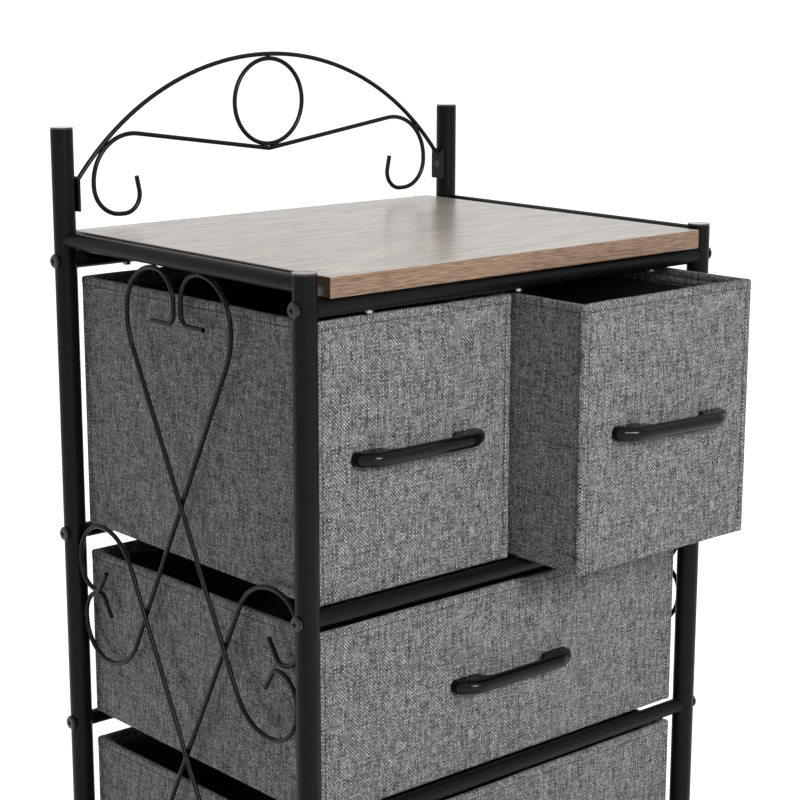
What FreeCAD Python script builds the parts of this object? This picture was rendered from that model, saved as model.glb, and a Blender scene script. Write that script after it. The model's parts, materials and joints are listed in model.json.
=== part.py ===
import FreeCAD, Part
import math
import os
import Sketcher

# Fabric drawer dresser: a black tube frame with bent-wire hearts on both sides, an arched wire
# back, a wood top and four fabric drawers on hidden runners.
# Millimetres. +X right, +Y back, +Z up. The origin is on the floor, under the middle of the whole
# dresser with its right small drawer pulled out.

SIZES = {
    # Posts, their plugs and feet
    "post_spacing_x": 436.0,
    "post_spacing_y": 324.0,
    "front_post_height": 692.0,
    "rear_post_rise": 85.0,
    "post_diameter": 19.0,
    "post_wall": 1.2,
    "plug_head": 1.5,
    "plug_stem": 12.0,
    "plug_play": 0.1,
    "foot_height": 8.0,
    "foot_diameter": 23.0,
    "foot_bevel": 1.5,
    "foot_stem": 14.0,
    # Cross rails and side tubes
    "rail_diameter": 13.0,
    "rail_wall": 1.2,
    "top_rail_diameter": 15.0,
    "bottom_rail_height": 78.5,
    "top_rail_drop": 27.0,
    "wide_tier_pitch": 174.0,
    "small_tier_pitch": 238.5,
    "side_tube_diameter": 13.5,
    "side_tube_wall": 1.0,
    "top_side_tube_drop": 9.3,
    "bottom_side_tube_height": 77.5,
    "weld_gap": 0.1,
    "cut_overrun": 2.0,
    # Frame bolts and the threaded inserts in the rail ends
    "bolt_diameter": 6.0,
    "bolt_head_diameter": 12.3,
    "bolt_head_height": 3.0,
    "bolt_head_bevel": 1.4,
    "bolt_bite": 14.0,
    "bolt_play": 0.25,
    "recess_length": 5.6,
    "recess_width": 1.4,
    "recess_depth": 1.4,
    "insert_length": 20.0,
    "insert_setback": 1.0,
    "insert_play": 0.1,
    # Runner tubes under the drawers
    "runner_diameter": 10.0,
    "runner_wall": 1.0,
    "runner_inset": 45.0,
    # Wood top and its screws
    "board_thickness": 16.0,
    "board_overhang": 12.5,
    "board_post_gap": 4.5,
    "board_edge_round": 1.0,
    "board_screw_spacing": 61.0,
    "board_screw_diameter": 4.0,
    "board_screw_head": 7.0,
    "board_screw_head_height": 1.8,
    "board_screw_bite": 10.0,
    "screw_play": 0.2,
    # Heart wires on the sides
    "wire_diameter": 4.0,
    "heart_lobe_width": 66.0,
    "heart_inner_bend": 25.5,
    "heart_outer_bend": 39.0,
    "heart_shoulder_drop": 55.5,
    "heart_shoulder_bend": 60.0,
    "heart_hook_drop": 43.0,
    "heart_hook_bend": 9.0,
    "heart_hook_reach": 30.0,
    "side_lobe_width": 58.5,
    "side_lobe_entry_bend": 46.0,
    "side_lobe_outer_bend": 33.5,
    "side_lobe_inner_bend": 23.5,
    "side_hook_start": 27.5,
    "side_hook_bend": 8.0,
    "side_hook_length": 22.0,
    # Back arch
    "arch_rise": 54.5,
    "arch_end_drop": 45.5,
    "scroll_drop": 84.5,
    "scroll_shoulder_bend": 40.0,
    "scroll_point_bend": 8.0,
    "scroll_foot_rise": 11.5,
    "scroll_outer_bend": 26.0,
    "scroll_hook_bend": 16.0,
    "scroll_hook_offset": 50.0,
    "scroll_hook_height": 31.5,
    "scroll_hook_lean": 6.5,
    "plate_height": 28.0,
    "plate_lap": 2.5,
    "plate_depth": 15.0,
    "plate_thickness": 2.5,
    "plate_screw_diameter": 4.0,
    "plate_screw_head": 7.5,
    "plate_screw_length": 10.0,
    # Drawers
    "drawer_wall": 3.5,
    "drawer_floor": 2.5,
    "drawer_corner": 5.0,
    "drawer_front_inset": 4.5,
    "drawer_back_inset": 4.0,
    "drawer_rail_gap": 0.3,
    "wide_drawer_post_gap": 4.0,
    "small_drawer_post_gap": 3.0,
    "small_drawer_middle_gap": 6.0,
    "wide_rim_gap": 7.7,
    "small_rim_gap": 4.3,
    "drawer_pull": 74.5,
    "insert_board_thickness": 3.0,
    "insert_board_gap": 1.0,
    # Handles and their screws
    "handle_length": 134.5,
    "handle_height": 11.6,
    "handle_block_length": 29.5,
    "handle_end_depth": 8.0,
    "handle_finger_gap": 10.5,
    "handle_grip_depth": 8.6,
    "handle_slope": 16.0,
    "handle_gap_slope": 5.0,
    "handle_end_bend": 10.0,
    "handle_shoulder_bend": 24.0,
    "handle_gap_bend": 7.0,
    "handle_rounding": 5.5,
    "handle_back_rounding": 2.5,
    "handle_hole_spacing": 96.0,
    "handle_screw_diameter": 4.0,
    "handle_screw_head": 8.0,
    "handle_screw_head_height": 2.6,
    "handle_screw_bite": 8.0,
    "washer_diameter": 14.0,
    "washer_thickness": 1.0,
}
SCROLL_RISE_ANGLE = 8.3
SIDE_HOOK_ANGLE = 56.0
QUARTER_TURN = 90.0
RUNNER_LAP_SHARE = 0.6
HEART_CROSSING_SHARE = 0.364
BENDS_IN_RUN_SHARE = 0.98
SAGGING_HANDLE_ANGLE = 1.4
ALMOST_NOTHING = 1e-9
# Formulas of the drawers' outside and their handles' reach
DRAWER_DEPTH = "(sizes.post_spacing_y - sizes.drawer_front_inset - sizes.drawer_back_inset)"
CLEAR_WIDTH = "(sizes.post_spacing_x - sizes.post_diameter)"
WIDE_WIDTH = f"({CLEAR_WIDTH} - 2 * sizes.wide_drawer_post_gap)"
SMALL_WIDTH = f"(({CLEAR_WIDTH} - sizes.small_drawer_middle_gap) / 2 - sizes.small_drawer_post_gap)"
LOWEST_TIER = ("(sizes.front_post_height - sizes.top_rail_drop - sizes.small_tier_pitch"
               " - sizes.wide_tier_pitch - sizes.bottom_rail_height)")
WIDE_HEIGHT = "(sizes.wide_tier_pitch - sizes.rail_diameter - sizes.drawer_rail_gap - sizes.wide_rim_gap)"
LOWEST_HEIGHT = f"({LOWEST_TIER} - sizes.rail_diameter - sizes.drawer_rail_gap - sizes.wide_rim_gap)"
HANDLE_REACH = "(sizes.handle_finger_gap + sizes.handle_grip_depth)"
SMALL_HEIGHT = ("(sizes.small_tier_pitch - (sizes.rail_diameter + sizes.top_rail_diameter) / 2"
                " - sizes.drawer_rail_gap - sizes.small_rim_gap)")

doc = FreeCAD.newDocument("fabric_drawer_dresser")
sheet = doc.addObject("Spreadsheet::Sheet", "sizes")
for row, (alias, number) in enumerate(SIZES.items(), start=1):
    sheet.set(f"A{row}", alias.replace("_", " "))
    sheet.set(f"B{row}", str(number))
    sheet.setAlias(f"B{row}", alias)
doc.recompute()

X_AXIS = FreeCAD.Vector(1, 0, 0)
Y_AXIS = FreeCAD.Vector(0, 1, 0)
Z_AXIS = FreeCAD.Vector(0, 0, 1)
ALONG_X = FreeCAD.Rotation(Y_AXIS, QUARTER_TURN)
ALONG_Y = FreeCAD.Rotation(X_AXIS, -QUARTER_TURN)
ALONG_Z = FreeCAD.Rotation()
SIDES = {"left": -1, "right": 1}
DEPTHS = {"front": -1, "rear": 1}
pieces = []


def size(alias):
    """A driving dimension from the sheet."""
    return sheet.get(alias)


def vector(x, y, z):
    return FreeCAD.Vector(x, y, z)


def bind(item, **formulas):
    """Bind properties of a document object to formulas of the sheet's cells."""
    for name, formula in formulas.items():
        item.setExpression(name, formula)
    return item


def place(item, position, rotation=ALONG_Z):
    item.Placement = FreeCAD.Placement(position, rotation)
    return item


def keep(item, label):
    """Name a finished sub-part and list it for writing."""
    item.Label = label
    pieces.append(item)
    return item


def cylinder(name, radius, height, position, rotation=ALONG_Z):
    item = doc.addObject("Part::Cylinder", name)
    bind(item, Radius=radius, Height=height)
    return place(item, position, rotation)


def box(name, length, width, height, position):
    item = doc.addObject("Part::Box", name)
    bind(item, Length=length, Width=width, Height=height)
    return place(item, position)


def filleted(name, base, edge_radius):
    """A base with rounded edges: edge_radius gives the radius of an edge, zero where it stays sharp."""
    doc.recompute()
    radii = {number: edge_radius(edge) for number, edge in enumerate(base.Shape.Edges, start=1)}
    item = doc.addObject("Part::Fillet", name)
    item.Base = base
    item.Edges = [(number, radius, radius) for number, radius in radii.items() if radius]
    return item


def upright(edge):
    return edge.tangentAt(edge.FirstParameter).cross(Z_AXIS).Length < ALMOST_NOTHING


def cut(name, base, tools):
    """The base less every tool."""
    tool = tools[0]
    if len(tools) > 1:
        tool = doc.addObject("Part::MultiFuse", name + "_cutters")
        tool.Shapes = tools
    item = doc.addObject("Part::Cut", name)
    item.Base = base
    item.Tool = tool
    return item


def group(label, form, placements):
    """Equal separate solids in one node: copies of one form."""
    copies = []
    for number, (position, rotation) in enumerate(placements, start=1):
        copy = doc.addObject("App::Link", f"{label}_{number}")
        copy.LinkedObject = form
        copies.append(place(copy, position, rotation))
    item = doc.addObject("Part::Compound", label)
    item.Links = copies
    return keep(item, label)


def origin_plane(body, role):
    return next(plane for plane in body.Origin.OriginFeatures if plane.Role == role)


def pin_vertex(sketch, index, formulas):
    """Hold a line's start at two formulas, measured from the sketch's origin."""
    for kind, axis, formula in zip(("DistanceX", "DistanceY"), (-2, -1), formulas):
        number = sheet.evalExpression(formula)
        if abs(number) < ALMOST_NOTHING:
            sketch.addConstraint(Sketcher.Constraint("PointOnObject", index, 1, axis))
            continue
        ends = (-1, 1, index, 1) if number > 0 else (index, 1, -1, 1)
        held = sketch.addConstraint(Sketcher.Constraint(kind, *ends, abs(number)))
        sketch.setExpression(f"Constraints[{held}]", formula if number > 0 else f"-({formula})")


def outline(body, name, role, corners):
    """A closed outline of straight lines whose corners are formulas of the sheet's cells."""
    sketch = body.newObject("Sketcher::SketchObject", name)
    sketch.AttachmentSupport = (origin_plane(body, role), [""])
    sketch.MapMode = "FlatFace"
    points = [vector(*(sheet.evalExpression(part) for part in corner), 0) for corner in corners]
    for start, end in zip(points, points[1:] + points[:1]):
        sketch.addGeometry(Part.LineSegment(start, end), False)
    for index in range(len(points)):
        following = (index + 1) % len(points)
        sketch.addConstraint(Sketcher.Constraint("Coincident", index, 2, following, 1))
    for index, corner in enumerate(corners):
        pin_vertex(sketch, index, corner)
    return sketch


def turned(name, corners):
    """A turned body: an outline of radius and height formulas revolved about Z."""
    body = doc.addObject("PartDesign::Body", name)
    sketch = outline(body, name + "_profile", "XZ_Plane", corners)
    turn = body.newObject("PartDesign::Revolution", name + "_turn")
    turn.Profile = sketch
    turn.ReferenceAxis = (sketch, ["V_Axis"])
    turn.Angle = 4 * QUARTER_TURN
    return body


def padded(name, corners, height):
    """A body padded up from an outline on its XY plane."""
    body = doc.addObject("PartDesign::Body", name)
    pad = body.newObject("PartDesign::Pad", name + "_pad")
    pad.Profile = outline(body, name + "_outline", "XY_Plane", corners)
    bind(pad, Length=height)
    return body


# Places worked out from the driving dimensions
post_x = size("post_spacing_x") / 2
post_radius = size("post_diameter") / 2
rail_radius = size("rail_diameter") / 2
top_rail_radius = size("top_rail_diameter") / 2
wire_radius = size("wire_diameter") / 2
handle_reach = sheet.evalExpression(HANDLE_REACH)
rearmost = size("post_spacing_y") / 2 + max(size("board_overhang"), post_radius)
foremost = size("drawer_front_inset") - size("post_spacing_y") / 2 - size("drawer_pull") - handle_reach
middle_y = -(rearmost + foremost) / 2
depth_y = {
    "front": middle_y - size("post_spacing_y") / 2,
    "rear": middle_y + size("post_spacing_y") / 2,
}
# The lowest tier takes what the tiers above it leave of the posts.
top_rail_z = size("front_post_height") - size("top_rail_drop")
rail_z = {
    "bottom": size("bottom_rail_height"),
    "lower": top_rail_z - size("small_tier_pitch") - size("wide_tier_pitch"),
    "upper": top_rail_z - size("small_tier_pitch"),
    "top": top_rail_z,
}
board_top_z = top_rail_z + top_rail_radius + size("board_thickness")
post_top = {
    "front": size("front_post_height"),
    "rear": size("front_post_height") + size("rear_post_rise"),
}
side_tube_z = {
    "top": size("front_post_height") - size("top_side_tube_drop"),
    "bottom": size("bottom_side_tube_height"),
}
arch_apex_z = post_top["rear"] + size("arch_rise")
arch_end_z = post_top["rear"] - size("arch_end_drop")
plate_face_x = post_x - post_radius - size("weld_gap") - size("plate_thickness")
plate_top_z = arch_end_z + size("plate_lap")
plate_mid_z = plate_top_z - size("plate_height") / 2


def post(side, depth):
    """One tube post, drilled across for its rail bolts, and for the arch's screw if it is a rear one."""
    label = f"{side}_{depth}_post"
    centre_x = SIDES[side] * post_x
    rise = " + sizes.rear_post_rise" if depth == "rear" else ""
    length = f"sizes.front_post_height{rise} - sizes.foot_height - sizes.plug_head"
    foot = vector(centre_x, depth_y[depth], size("foot_height"))
    tube = cylinder(label + "_outside", "sizes.post_diameter / 2", length, foot)
    tools = [cylinder(label + "_bore", "sizes.post_diameter / 2 - sizes.post_wall", length, foot)]
    across = centre_x - post_radius - size("cut_overrun")
    for level, height in rail_z.items():
        tools.append(cylinder(f"{label}_{level}_hole", "sizes.bolt_diameter / 2 + sizes.bolt_play",
                              "sizes.post_diameter + 2 * sizes.cut_overrun",
                              vector(across, depth_y[depth], height), ALONG_X))
    if depth == "rear":
        inner = centre_x if side == "left" else centre_x - post_radius - size("cut_overrun")
        tools.append(cylinder(label + "_screw_hole", "sizes.plate_screw_diameter / 2 + sizes.screw_play",
                              "sizes.post_diameter / 2 + sizes.cut_overrun",
                              vector(inner, depth_y[depth], plate_mid_z), ALONG_X))
    keep(cut(label, tube, tools), label)


def post_cutter(name, side, depth):
    """The space that a post takes, for a tube end that is coped to it."""
    return cylinder(name, "sizes.post_diameter / 2 + sizes.weld_gap",
                    "sizes.front_post_height + sizes.rear_post_rise",
                    vector(SIDES[side] * post_x, depth_y[depth], 0))


def side_tube(side, level):
    """A tube from front post to rear post, coped to both."""
    label = f"{side}_{level}_side_tube"
    start = vector(SIDES[side] * post_x, depth_y["front"], side_tube_z[level])
    tube = cylinder(label + "_outside", "sizes.side_tube_diameter / 2", "sizes.post_spacing_y",
                    start, ALONG_Y)
    bore = cylinder(label + "_bore", "sizes.side_tube_diameter / 2 - sizes.side_tube_wall",
                    "sizes.post_spacing_y", start, ALONG_Y)
    copes = [post_cutter(f"{label}_{depth}_cope", side, depth) for depth in DEPTHS]
    keep(cut(label, tube, [bore] + copes), label)


def board_screw_places():
    outer = post_x - size("board_screw_spacing")
    return [(x, depth_y[depth]) for depth in DEPTHS for x in (-outer, 0, outer)]


def rail(depth, level):
    """A tube from side to side, coped to the posts; the top ones have a thicker wall and board screws."""
    label = f"{level}_{depth}_rail"
    start = vector(-post_x, depth_y[depth], rail_z[level])
    outside = "sizes.top_rail_diameter / 2" if level == "top" else "sizes.rail_diameter / 2"
    tube = cylinder(label + "_outside", outside, "sizes.post_spacing_x", start, ALONG_X)
    tools = [cylinder(label + "_bore", "sizes.rail_diameter / 2 - sizes.rail_wall",
                      "sizes.post_spacing_x", start, ALONG_X)]
    tools += [post_cutter(f"{label}_{side}_cope", side, depth) for side in SIDES]
    if level == "top":
        under = rail_z[level] - top_rail_radius - size("cut_overrun")
        for number, (x, y) in enumerate(board_screw_places()):
            if y == depth_y[depth]:
                tools.append(cylinder(f"{label}_hole_{number}",
                                      "sizes.board_screw_diameter / 2 + sizes.screw_play",
                                      "sizes.top_rail_diameter + 2 * sizes.cut_overrun", vector(x, y, under)))
    keep(cut(label, tube, tools), label)


def post_ends():
    """Flat plugs in the post tops and foot caps under the posts, as two groups."""
    stem = "sizes.post_diameter / 2 - sizes.post_wall - sizes.plug_play"
    plug = turned("plug_form", [
        ("0", "sizes.plug_head"),
        ("sizes.post_diameter / 2", "sizes.plug_head"),
        ("sizes.post_diameter / 2", "0"),
        (stem, "0"),
        (stem, "-sizes.plug_stem"),
        ("0", "-sizes.plug_stem"),
    ])
    foot = turned("foot_form", [
        ("0", "0"),
        ("sizes.foot_diameter / 2 - sizes.foot_bevel", "0"),
        ("sizes.foot_diameter / 2", "sizes.foot_bevel"),
        ("sizes.foot_diameter / 2", "sizes.foot_height"),
        (stem, "sizes.foot_height"),
        (stem, "sizes.foot_height + sizes.foot_stem"),
        ("0", "sizes.foot_height + sizes.foot_stem"),
    ])
    posts = [(side * post_x, depth) for side in SIDES.values() for depth in DEPTHS]
    group("post_plugs", plug, [(vector(x, depth_y[depth], post_top[depth] - size("plug_head")), ALONG_Z)
                               for x, depth in posts])
    group("foot_caps", foot, [(vector(x, depth_y[depth], 0), ALONG_Z) for x, depth in posts])


def rail_fixings():
    """The bolts through the posts and the threaded inserts in the rail ends, as two groups."""
    bolt = turned("bolt_form", [
        ("0", "sizes.bolt_head_height"),
        ("sizes.bolt_head_diameter / 2 - sizes.bolt_head_bevel", "sizes.bolt_head_height"),
        ("sizes.bolt_head_diameter / 2", "sizes.bolt_head_height - sizes.bolt_head_bevel"),
        ("sizes.bolt_head_diameter / 2", "0"),
        ("sizes.bolt_diameter / 2", "0"),
        ("sizes.bolt_diameter / 2", "-sizes.post_diameter - sizes.bolt_bite"),
        ("0", "-sizes.post_diameter - sizes.bolt_bite"),
    ])
    recess_z = size("bolt_head_height") - size("recess_depth")
    long_half = size("recess_length") / 2
    short_half = size("recess_width") / 2
    deep = "sizes.recess_depth + sizes.cut_overrun"
    cross = [box("recess_across", "sizes.recess_length", "sizes.recess_width", deep,
                 vector(-long_half, -short_half, recess_z)),
             box("recess_along", "sizes.recess_width", "sizes.recess_length", deep,
                 vector(-short_half, -long_half, recess_z))]
    headed = cut("bolt_with_recess", bolt, cross)
    insert = cut("insert_form",
                 cylinder("insert_outside", "sizes.rail_diameter / 2 - sizes.rail_wall - sizes.insert_play",
                          "sizes.insert_length", vector(0, 0, 0)),
                 [cylinder("insert_thread", "sizes.bolt_diameter / 2 + sizes.insert_play",
                           "sizes.insert_length", vector(0, 0, 0))])
    head_x = post_x + post_radius + size("weld_gap")
    insert_x = post_x - post_radius - size("insert_setback")
    bolts = []
    inserts = []
    for depth in DEPTHS:
        for height in rail_z.values():
            for side in SIDES.values():
                turn = FreeCAD.Rotation(Y_AXIS, QUARTER_TURN * side)
                bolts.append((vector(side * head_x, depth_y[depth], height), turn))
                inward = FreeCAD.Rotation(Y_AXIS, -QUARTER_TURN * side)
                inserts.append((vector(side * insert_x, depth_y[depth], height), inward))
    group("frame_bolts", headed, bolts)
    group("rail_inserts", insert, inserts)


def runners(level, places):
    """Tubes from front rail to rear rail, flush with the rails' tops, that carry one tier's drawers."""
    label = f"{level}_runners"
    lap = RUNNER_LAP_SHARE * rail_radius
    height = rail_z[level] + rail_radius - size("runner_diameter") / 2
    length = f"sizes.post_spacing_y - {RUNNER_LAP_SHARE} * sizes.rail_diameter"
    start = vector(0, depth_y["front"] + lap, height)
    tube = cylinder(label + "_outside", "sizes.runner_diameter / 2", length, start, ALONG_Y)
    bore = "sizes.runner_diameter / 2 - sizes.runner_wall"
    tools = [cylinder(label + "_bore", bore, length, start, ALONG_Y)]
    for depth in DEPTHS:
        tools.append(cylinder(f"{label}_{depth}_cope", "sizes.rail_diameter / 2 + sizes.weld_gap",
                              "sizes.runner_diameter + 2 * sizes.cut_overrun",
                              vector(-size("runner_diameter") / 2 - size("cut_overrun"),
                                     depth_y[depth], rail_z[level]), ALONG_X))
    form = cut(label + "_form", tube, tools)
    group(label, form, [(vector(x, 0, 0), ALONG_Z) for x in places])


def top_board():
    """The wood top, drilled from below, and the group of screws that hold it to the top rails."""
    half_width = "(sizes.post_spacing_x - sizes.post_diameter) / 2 - sizes.board_post_gap"
    half_depth = "sizes.post_spacing_y / 2 + sizes.board_overhang"
    body = padded("board_form", [
        (f"-({half_width})", f"-({half_depth})"),
        (half_width, f"-({half_depth})"),
        (half_width, half_depth),
        (f"-({half_width})", half_depth),
    ], "sizes.board_thickness")
    doc.recompute()
    blank = body.Tip
    rounded = body.newObject("PartDesign::Fillet", "board_round")
    rounded.Base = (blank, [f"Edge{number}" for number in range(1, len(blank.Shape.Edges) + 1)])
    bind(rounded, Radius="sizes.board_edge_round")
    underside = rail_z["top"] + top_rail_radius
    place(body, vector(0, middle_y, underside))
    pilots = [cylinder(f"board_pilot_{number}", "sizes.board_screw_diameter / 2 + sizes.screw_play",
                       "sizes.board_screw_bite + sizes.cut_overrun + sizes.screw_play",
                       vector(x, y, underside - size("cut_overrun")))
              for number, (x, y) in enumerate(board_screw_places())]
    keep(cut("top_board", body, pilots), "top_board")
    shank = "sizes.top_rail_diameter + sizes.board_screw_bite"
    screw = turned("board_screw_form", [
        ("0", "-sizes.board_screw_head_height"),
        ("sizes.board_screw_head / 2", "-sizes.board_screw_head_height"),
        ("sizes.board_screw_head / 2", "0"),
        ("sizes.board_screw_diameter / 2", "0"),
        ("sizes.board_screw_diameter / 2", shank),
        ("0", shank),
    ])
    seat = rail_z["top"] - top_rail_radius
    group("board_screws", screw, [(vector(x, y, seat), ALONG_Z) for x, y in board_screw_places()])


def half_angle(before, corner, after):
    return (before - corner).getAngle(after - corner) / 2


def fitted_bends(points, bends):
    """The bend radii, made smaller where a run is too short for the bends at its two ends."""
    halves = [half_angle(*three) for three in zip(points, points[1:], points[2:])]
    setbacks = [0] + [bend / math.tan(half) for bend, half in zip(bends[1:-1], halves)] + [0]
    runs = [start.distanceToPoint(end) for start, end in zip(points, points[1:])]
    room = [min(1, BENDS_IN_RUN_SHARE * run / max(setbacks[number] + setbacks[number + 1], ALMOST_NOTHING))
            for number, run in enumerate(runs)]
    return [bend * min(room[max(number - 1, 0):number + 1]) for number, bend in enumerate(bends)]


def rounded_route(corners):
    """Straight runs joined by tangent arcs. Each corner is a point and its bend radius."""
    points = [point for point, _ in corners]
    bends = fitted_bends(points, [bend for _, bend in corners])
    edges = []
    start = points[0]
    for before, corner, after, bend in zip(points, points[1:], points[2:], bends[1:]):
        back = (before - corner).normalize()
        onward = (after - corner).normalize()
        half = half_angle(before, corner, after)
        setback = bend / math.tan(half)
        entry = corner + back * setback
        leave = corner + onward * setback
        middle = corner + (back + onward).normalize() * (bend / math.sin(half) - bend)
        edges.append(Part.LineSegment(start, entry).toShape())
        edges.append(Part.Arc(entry, middle, leave).toShape())
        start = leave
    edges.append(Part.LineSegment(start, points[-1]).toShape())
    return Part.Wire(edges)


def swept(name, route, radius):
    """A round bar along a route."""
    spine = doc.addObject("Part::Feature", name + "_route")
    spine.Shape = route
    first = route.OrderedEdges[0]
    heading = first.tangentAt(first.FirstParameter)
    section = bind(doc.addObject("Part::Circle", name + "_section"), Radius=radius)
    place(section, first.valueAt(first.FirstParameter), FreeCAD.Rotation(Z_AXIS, heading))
    sweep = doc.addObject("Part::Sweep", name)
    sweep.Sections = [section]
    sweep.Spine = (spine, [f"Edge{number}" for number in range(1, len(route.Edges) + 1)])
    sweep.Solid = True
    return sweep


def bent_wire(label, route):
    keep(swept(label, route, "sizes.wire_diameter / 2"), label)


def heart_corners():
    """Corners of one heart wire as (back, up, bend), from the middle of the side panel.

    The wire starts at the hook of the top heart's rear lobe, goes over that lobe, runs down across
    the middle, and ends in the hook of the front heart's lower lobe.
    """
    layer = wire_radius + size("weld_gap") / 2
    touch_tube = size("side_tube_diameter") / 2 + wire_radius + size("weld_gap")
    touch_post = post_radius + wire_radius + size("weld_gap")
    top = (side_tube_z["top"] - side_tube_z["bottom"]) / 2 - math.sqrt(touch_tube ** 2 - layer ** 2)
    reach = size("post_spacing_y") / 2 - math.sqrt(touch_post ** 2 - layer ** 2)
    inner = wire_radius + size("weld_gap")
    outer = inner + size("heart_lobe_width")
    hook = top - size("heart_hook_drop")
    shoulder = top - size("heart_shoulder_drop")
    crossing = HEART_CROSSING_SHARE * top
    lean = outer / (shoulder - crossing)
    low = -inner - size("side_lobe_width")
    entry = lean * (low - crossing)
    hook_start = size("side_hook_start") - reach
    angle = math.radians(SIDE_HOOK_ANGLE)
    return [
        (inner + size("heart_hook_reach"), hook, 0),
        (inner, hook, size("heart_hook_bend")),
        (inner, top, size("heart_inner_bend")),
        (outer, top, size("heart_outer_bend")),
        (outer, shoulder, size("heart_shoulder_bend")),
        (entry, low, size("side_lobe_entry_bend")),
        (-reach, low, size("side_lobe_outer_bend")),
        (-reach, -inner, size("side_lobe_inner_bend")),
        (hook_start, -inner, size("side_hook_bend")),
        (hook_start + size("side_hook_length") * math.cos(angle),
         -inner - size("side_hook_length") * math.sin(angle), 0),
    ]


def heart_wires(side):
    """Four equal wires on one side: two lie outside, two inside, and they touch where they cross."""
    layer = wire_radius + size("weld_gap") / 2
    centre_z = (side_tube_z["top"] + side_tube_z["bottom"]) / 2
    for up_name, up in (("top", 1), ("bottom", -1)):
        for back_name, back in (("rear", 1), ("front", -1)):
            outward = up * back * SIDES[side]
            x = SIDES[side] * post_x + outward * layer
            corners = [(vector(x, middle_y + back * y, centre_z + up * z), bend)
                       for y, z, bend in heart_corners()]
            bent_wire(f"{side}_{up_name}_{back_name}_heart_wire", rounded_route(corners))


def back_arch():
    """The arch wire, its ring and its V scroll, in the plane of the rear posts."""
    y = depth_y["rear"]
    sag = arch_apex_z - arch_end_z
    end_lean = 2 * sag * plate_face_x / (plate_face_x ** 2 + sag ** 2)
    chord = plate_face_x - size("weld_gap") - wire_radius * end_lean
    arch_radius = (chord ** 2 + sag ** 2) / (2 * sag)
    centre_z = arch_apex_z - arch_radius
    arc = Part.Arc(vector(-chord, y, arch_end_z), vector(0, y, arch_apex_z), vector(chord, y, arch_end_z))
    bent_wire("back_arch_wire", Part.Wire([arc.toShape()]))

    touch = size("wire_diameter") + size("weld_gap")
    point_z = arch_apex_z - size("scroll_drop")
    ring = doc.addObject("Part::Torus", "back_ring")
    bind(ring, Radius1="(sizes.scroll_drop - 2 * sizes.wire_diameter - 4 * sizes.weld_gap) / 2",
         Radius2="sizes.wire_diameter / 2")
    ring_z = arch_apex_z - touch - (size("scroll_drop") - 2 * size("wire_diameter")
                                    - 4 * size("weld_gap")) / 2
    keep(place(ring, vector(0, y, ring_z), ALONG_Y), "back_ring")

    # The scroll's shoulder bend touches the arch from inside, which sets how far out it reaches.
    rise = math.tan(math.radians(SCROLL_RISE_ANGLE))
    bend = size("scroll_shoulder_bend")
    drop = point_z - bend * math.sqrt(1 + rise ** 2) - centre_z
    distance = arch_radius - bend - touch
    bend_x = (math.sqrt((1 + rise ** 2) * distance ** 2 - drop ** 2) - rise * drop) / (1 + rise ** 2)
    outer = bend_x + bend
    foot_z = board_top_z + size("scroll_foot_rise")
    hook_x = outer - size("scroll_hook_offset")
    half = [
        (hook_x + size("scroll_hook_lean"), foot_z + size("scroll_hook_height"), 0),
        (hook_x, foot_z, size("scroll_hook_bend")),
        (outer, foot_z, size("scroll_outer_bend")),
        (outer, point_z + rise * outer, bend),
    ]
    point = [(0, point_z, size("scroll_point_bend"))]
    mirrored = [(-x, z, radius) for x, z, radius in reversed(half)]
    corners = [(vector(x, y, z), radius) for x, z, radius in half + point + mirrored]
    bent_wire("back_scroll_wire", rounded_route(corners))


def arch_plates():
    """Flat plates at the arch's ends, against the rear posts, and their countersunk screws."""
    screw = turned("plate_screw_form", [
        ("0", "0"),
        ("sizes.plate_screw_head / 2", "0"),
        ("sizes.plate_screw_diameter / 2", "-(sizes.plate_screw_head - sizes.plate_screw_diameter) / 2"),
        ("sizes.plate_screw_diameter / 2", "-sizes.plate_screw_length"),
        ("0", "-sizes.plate_screw_length"),
    ])
    y = depth_y["rear"]
    placements = []
    for side, sign in SIDES.items():
        low_x = sign * plate_face_x if sign > 0 else -plate_face_x - size("plate_thickness")
        plate = box(f"{side}_arch_plate_blank", "sizes.plate_thickness", "sizes.plate_depth",
                    "sizes.plate_height",
                    vector(low_x, y - size("plate_depth") / 2, plate_top_z - size("plate_height")))
        inward = FreeCAD.Rotation(Y_AXIS, -QUARTER_TURN * sign)
        hole = cylinder(f"{side}_arch_plate_hole", "sizes.plate_screw_diameter / 2 + sizes.screw_play",
                        "sizes.plate_thickness + 2 * sizes.cut_overrun",
                        vector(low_x - size("cut_overrun"), y, plate_mid_z), ALONG_X)
        sink = doc.addObject("Part::Cone", f"{side}_arch_plate_sink")
        bind(sink, Radius1="sizes.plate_screw_diameter / 2 + sizes.screw_play",
             Radius2="sizes.plate_screw_head / 2 + sizes.screw_play",
             Height="(sizes.plate_screw_head - sizes.plate_screw_diameter) / 2")
        sink_x = plate_face_x + (size("plate_screw_head") - size("plate_screw_diameter")) / 2
        place(sink, vector(sign * sink_x, y, plate_mid_z), inward)
        keep(cut(f"{side}_arch_plate", plate, [hole, sink]), f"{side}_arch_plate")
        placements.append((vector(sign * plate_face_x, y, plate_mid_z), inward))
    group("arch_plate_screws", screw, placements)


def handle_screw_places(sag):
    """The two screws' places from the front's middle, turned by the handle's sag."""
    half = size("handle_hole_spacing") / 2
    return [sag.multVec(vector(sign * half, 0, 0)) for sign in (-1, 1)]


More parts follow.
